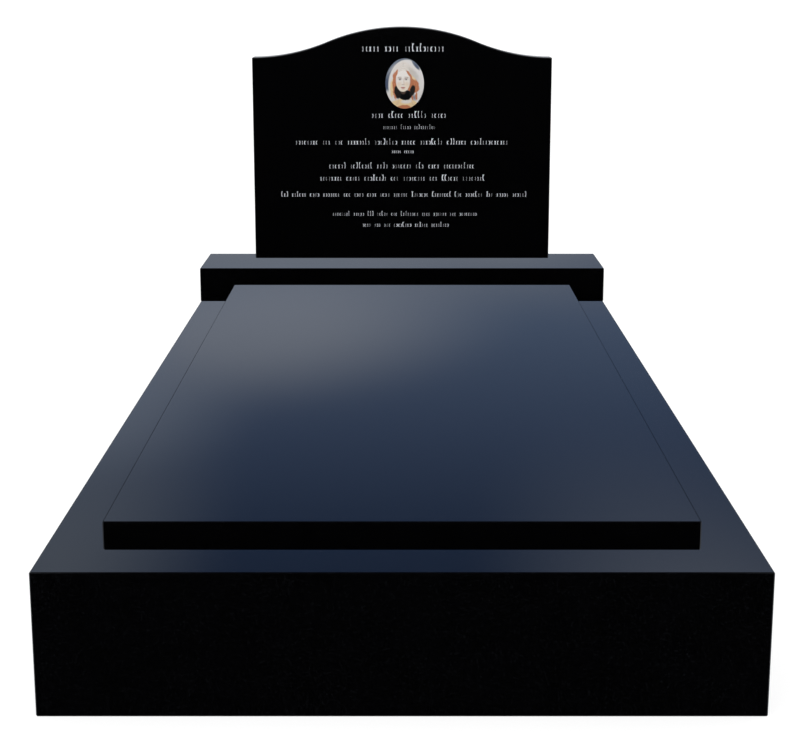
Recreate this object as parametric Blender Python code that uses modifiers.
"""Grave monument of polished black granite, ready to stand on a cemetery foundation.

Four stones and one ceramic make it. A long base block covers the whole plot. A ledger slab lies on
it, inset from the sides and the foot. A plinth stands across its head end and carries the headstone,
whose top is one serpentine line. An oval portrait medallion is glued to the headstone's face, among
the rows of its inscription, which are plain cuts that spell nothing.

Metres, +Z up. The foot of the grave is at -Y and the head at +Y, so the headstone faces -Y. The
origin is the centre of the base block's underside.
"""

import math
import random

import bmesh
import bpy
from mathutils import Matrix

# Fits and edges
JOINT = 0.0003  # the hairline between two pieces that touch
ARRIS = 0.002  # the narrow bevel ground along every sharp edge of a stone

# Base block
BASE_WIDTH = 1.200
BASE_HEIGHT = 0.250
FORE_LENGTH = 2.200  # the base's length in front of the plinth

# Ledger slab
LEDGER_INSET = 0.101  # bare margin of the base at each side and at the foot
LEDGER_THICKNESS = 0.050

# Plinth
PLINTH_DEPTH = 0.260
PLINTH_HEIGHT = 0.100

# Headstone
HEADSTONE_WIDTH = 0.900
HEADSTONE_THICKNESS = 0.080
HEADSTONE_HEIGHT = 0.700  # at the crest
SHOULDER_DROP = 0.090  # from the crest down to the shoulders
HEADSTONE_SETBACK = 0.175  # from the plinth's front face to the headstone's
ARC_STEPS = 12  # facets of one arc of the serpentine top

# Portrait medallion
MEDALLION_WIDTH = 0.116
MEDALLION_HEIGHT = 0.150
MEDALLION_EDGE = 0.0025  # thickness at the rim
MEDALLION_CROWN = 0.0045  # how far the dome rises above the rim
MEDALLION_TURN_STEPS = 48
DOME_STEPS = 6
MEDALLION_ACROSS = 0.009  # place of its centre, as shares of the headstone's width and height
MEDALLION_UP = 0.761

# Inscription. Each row holds shares of the headstone's own size: the row's width and the place of
# its middle as shares of the width, then the signs' height and the baseline as shares of the height.
INSCRIPTION_ROWS = (
    (0.278, 0.003, 0.0351, 0.894),
    (0.253, 0.023, 0.0290, 0.613),
    (0.177, 0.023, 0.0211, 0.564),
    (0.718, -0.001, 0.0276, 0.497),
    (0.077, 0.002, 0.0187, 0.460),
    (0.492, -0.001, 0.0276, 0.394),
    (0.560, 0.001, 0.0271, 0.340),
    (0.833, 0.006, 0.0237, 0.271),
    (0.491, 0.009, 0.0217, 0.185),
    (0.296, 0.012, 0.0217, 0.138),
)
INSCRIPTION_SEED = 7
CUT_DEPTH = 0.0012
CUT_TAPER = 0.35  # how much narrower a cut is at its floor than at the face
CUT_WIDTH = 0.15  # of the sign height, as the values below are
CUT_PITCH = 0.72
LOW_CUT, TALL_CUT = 0.66, 0.96
CUT_LEAN = math.radians(9)
WORD_LENGTHS = (3, 4, 5, 6, 7)

BASE_LENGTH = FORE_LENGTH + PLINTH_DEPTH
FOOT_Y = -BASE_LENGTH / 2
HEAD_Y = BASE_LENGTH / 2
PLINTH_FRONT_Y = FOOT_Y + FORE_LENGTH
PLINTH_FOOT_Z = BASE_HEIGHT + JOINT
HEADSTONE_FOOT_Z = PLINTH_FOOT_Z + PLINTH_HEIGHT + JOINT
HEADSTONE_FACE_Y = PLINTH_FRONT_Y + HEADSTONE_SETBACK


def principled(name, colour, roughness, coat=0.0):
    """A material with one Principled shader. The colour is linear."""
    material = bpy.data.materials.new(name)
    material.use_nodes = True
    shader = material.node_tree.nodes["Principled BSDF"]
    shader.inputs["Base Color"].default_value = (*colour, 1.0)
    shader.inputs["Roughness"].default_value = roughness
    shader.inputs["Metallic"].default_value = 0.0
    shader.inputs["Coat Weight"].default_value = coat
    return material


def black_granite(piece):
    return principled(f"polished black granite of the {piece}", (0.004, 0.004, 0.0045), 0.06)


def glazed_ceramic():
    return principled("glazed ceramic", (0.62, 0.55, 0.48), 0.12, coat=1.0)


def add_arris(obj):
    """The narrow flat that a mason grinds along each sharp edge."""
    bevel = obj.modifiers.new("arris", "BEVEL")
    bevel.width = ARRIS
    bevel.segments = 1
    bevel.limit_method = "ANGLE"
    bevel.angle_limit = math.radians(40)


def block(name, width, front_y, back_y, foot_z, height, collection):
    """A sawn and polished block, centred across the monument."""
    mesh = bpy.data.meshes.new(name)
    bm = bmesh.new()
    bmesh.ops.create_cube(bm, size=1.0)
    bmesh.ops.scale(bm, vec=(width, back_y - front_y, height), verts=bm.verts)
    bm.to_mesh(mesh)
    bm.free()
    obj = bpy.data.objects.new(name, mesh)
    obj.location = (0.0, (front_y + back_y) / 2, foot_z + height / 2)
    mesh.materials.append(black_granite(name.replace("_", " ")))
    add_arris(obj)
    collection.objects.link(obj)
    return obj


def serpentine_half():
    """Points of the right half of the headstone's outline, from the crest down to its foot.

    Two arcs of one radius meet halfway, the crown bulging up and the shoulder hollow, and both are
    level at their ends.
    """
    half_width = HEADSTONE_WIDTH / 2
    radius = (half_width**2 + SHOULDER_DROP**2) / (4 * SHOULDER_DROP)
    sweep = math.asin(half_width / 2 / radius)
    angles = [sweep * i / ARC_STEPS for i in range(ARC_STEPS + 1)]
    shoulder_z = HEADSTONE_HEIGHT - SHOULDER_DROP
    crown = [(radius * math.sin(a), HEADSTONE_HEIGHT - radius * (1 - math.cos(a))) for a in angles]
    hollow = [
        (half_width - radius * math.sin(a), shoulder_z + radius * (1 - math.cos(a)))
        for a in reversed(angles[:-1])
    ]
    return crown + hollow + [(half_width, 0.0)]


def headstone_blank(name):
    """The upright tablet without its inscription, with its front face on its own plane."""
    right = serpentine_half()
    left = [(-x, z) for x, z in reversed(right[1:])]
    outline = right + left
    curve = bpy.data.curves.new(name + " outline", "CURVE")
    curve.dimensions = "2D"
    curve.fill_mode = "BOTH"
    curve.extrude = HEADSTONE_THICKNESS / 2
    spline = curve.splines.new("POLY")
    spline.points.add(len(outline) - 1)
    for point, (x, z) in zip(spline.points, outline):
        point.co = (x, z, 0.0, 1.0)
    spline.use_cyclic_u = True
    drawn = bpy.data.objects.new(name + " outline", curve)
    drawn.location = (0.0, HEADSTONE_FACE_Y + HEADSTONE_THICKNESS / 2, HEADSTONE_FOOT_Z)
    drawn.rotation_euler = (math.radians(90), 0.0, 0.0)
    bpy.context.scene.collection.objects.link(drawn)
    bpy.context.view_layer.update()
    graph = bpy.context.evaluated_depsgraph_get()
    mesh = bpy.data.meshes.new_from_object(drawn.evaluated_get(graph))
    mesh.name = name
    bm = bmesh.new()
    bm.from_mesh(mesh)
    bmesh.ops.remove_doubles(bm, verts=bm.verts, dist=1e-5)
    bmesh.ops.dissolve_limit(bm, angle_limit=math.radians(0.1), verts=bm.verts, edges=bm.edges)
    bmesh.ops.recalc_face_normals(bm, faces=bm.faces)
    bm.to_mesh(mesh)
    bm.free()
    obj = bpy.data.objects.new(name, mesh)
    obj.matrix_world = drawn.matrix_world.copy()
    bpy.data.objects.remove(drawn)
    return obj


def inscription_cuts():
    """The place, length, width and lean of every cut of the inscription, row by row.

    Upright cuts of two heights stand in groups as long as words. They don't touch one another, so
    no two of them make a letter.
    """
    draw = random.Random(INSCRIPTION_SEED)
    for width_share, middle_share, sign_share, baseline_share in INSCRIPTION_ROWS:
        width = width_share * HEADSTONE_WIDTH
        sign = sign_share * HEADSTONE_HEIGHT
        baseline = HEADSTONE_FOOT_Z + baseline_share * HEADSTONE_HEIGHT
        places = round(width / (sign * CUT_PITCH))
        pitch = width / places
        left = middle_share * HEADSTONE_WIDTH - width / 2
        word_left = draw.choice(WORD_LENGTHS)
        for place in range(places):
            is_space = word_left == 0 and place < places - 1
            if is_space:
                word_left = draw.choice(WORD_LENGTHS)
                continue
            word_left -= 1
            length = sign * draw.choice((LOW_CUT, LOW_CUT, TALL_CUT))
            lean = CUT_LEAN * draw.choice((-1, 0, 0, 1))
            yield left + (place + 0.5) * pitch, baseline + length / 2, length, sign * CUT_WIDTH, lean


def inscription_cutter(name, collection):
    """All cuts as one hidden tool: each is a block that straddles the face and narrows inwards."""
    bm = bmesh.new()
    for x, z, length, width, lean in inscription_cuts():
        verts = bmesh.ops.create_cube(bm, size=1.0)["verts"]
        for vert in verts:
            flare = 1.0 - 2.0 * vert.co.y * CUT_TAPER
            vert.co.x *= width * flare
            vert.co.y *= 2.0 * CUT_DEPTH
            vert.co.z *= length
        turn = Matrix.Translation((x, HEADSTONE_FACE_Y, z)) @ Matrix.Rotation(lean, 4, "Y")
        bmesh.ops.transform(bm, matrix=turn, verts=verts)
    mesh = bpy.data.meshes.new(name)
    bm.to_mesh(mesh)
    bm.free()
    obj = bpy.data.objects.new(name, mesh)
    obj.hide_render = True
    obj.display_type = "WIRE"
    collection.objects.link(obj)
    return obj


def headstone(name, collection, cutters):
    """The tablet, its edges ground first and its inscription cut last."""
    obj = headstone_blank(name)
    obj.data.materials.append(black_granite(name))
    collection.objects.link(obj)
    add_arris(obj)
    cut = obj.modifiers.new("inscription", "BOOLEAN")
    cut.operation = "DIFFERENCE"
    cut.object = inscription_cutter("inscription_cutter", cutters)
    obj.data.shade_smooth()
    obj.data.set_sharp_from_angle(angle=math.radians(30))
    return obj


def medallion(name, collection):
    """A domed oval tile with an upright rim: a round one turned from its profile, then narrowed."""
    radius = MEDALLION_HEIGHT / 2
    dome = []
    for step in range(DOME_STEPS + 1):
        share = step / DOME_STEPS
        rise = MEDALLION_CROWN * (1.0 - share**2)
        dome.append((radius * share, 0.0, MEDALLION_EDGE + rise))
    profile = dome + [(radius, 0.0, 0.0), (0.0, 0.0, 0.0)]
    mesh = bpy.data.meshes.new(name)
    mesh.from_pydata(profile, [(i, i + 1) for i in range(len(profile) - 1)], [])
    mesh.materials.append(glazed_ceramic())
    obj = bpy.data.objects.new(name, mesh)
    turned = obj.modifiers.new("turned", "SCREW")
    turned.axis = "Z"
    turned.angle = math.radians(360)
    turned.steps = MEDALLION_TURN_STEPS
    turned.render_steps = MEDALLION_TURN_STEPS
    turned.use_merge_vertices = True
    turned.merge_threshold = 0.0001
    turned.use_smooth_shade = True
    obj.scale = (MEDALLION_WIDTH / MEDALLION_HEIGHT, 1.0, 1.0)
    obj.rotation_euler = (math.radians(90), 0.0, 0.0)
    obj.location = (
        MEDALLION_ACROSS * HEADSTONE_WIDTH,
        HEADSTONE_FACE_Y - JOINT,
        HEADSTONE_FOOT_Z + MEDALLION_UP * HEADSTONE_HEIGHT,
    )
    collection.objects.link(obj)
    return obj


def new_collection(name):
    collection = bpy.data.collections.new(name)
    bpy.context.scene.collection.children.link(collection)
    return collection


for leftover in list(bpy.data.objects):
    bpy.data.objects.remove(leftover)
monument = new_collection("grave monument")
tools = new_collection("cutters")

block("base_block", BASE_WIDTH, FOOT_Y, HEAD_Y, 0.0, BASE_HEIGHT, monument)
block(
    "ledger_slab",
    BASE_WIDTH - 2 * LEDGER_INSET,
    FOOT_Y + LEDGER_INSET,
    PLINTH_FRONT_Y - JOINT,
    BASE_HEIGHT + JOINT,
    LEDGER_THICKNESS,
    monument,
)
block("plinth", BASE_WIDTH, PLINTH_FRONT_Y, HEAD_Y, PLINTH_FOOT_Z, PLINTH_HEIGHT, monument)
headstone("headstone", monument, tools)
medallion("portrait_medallion", monument)
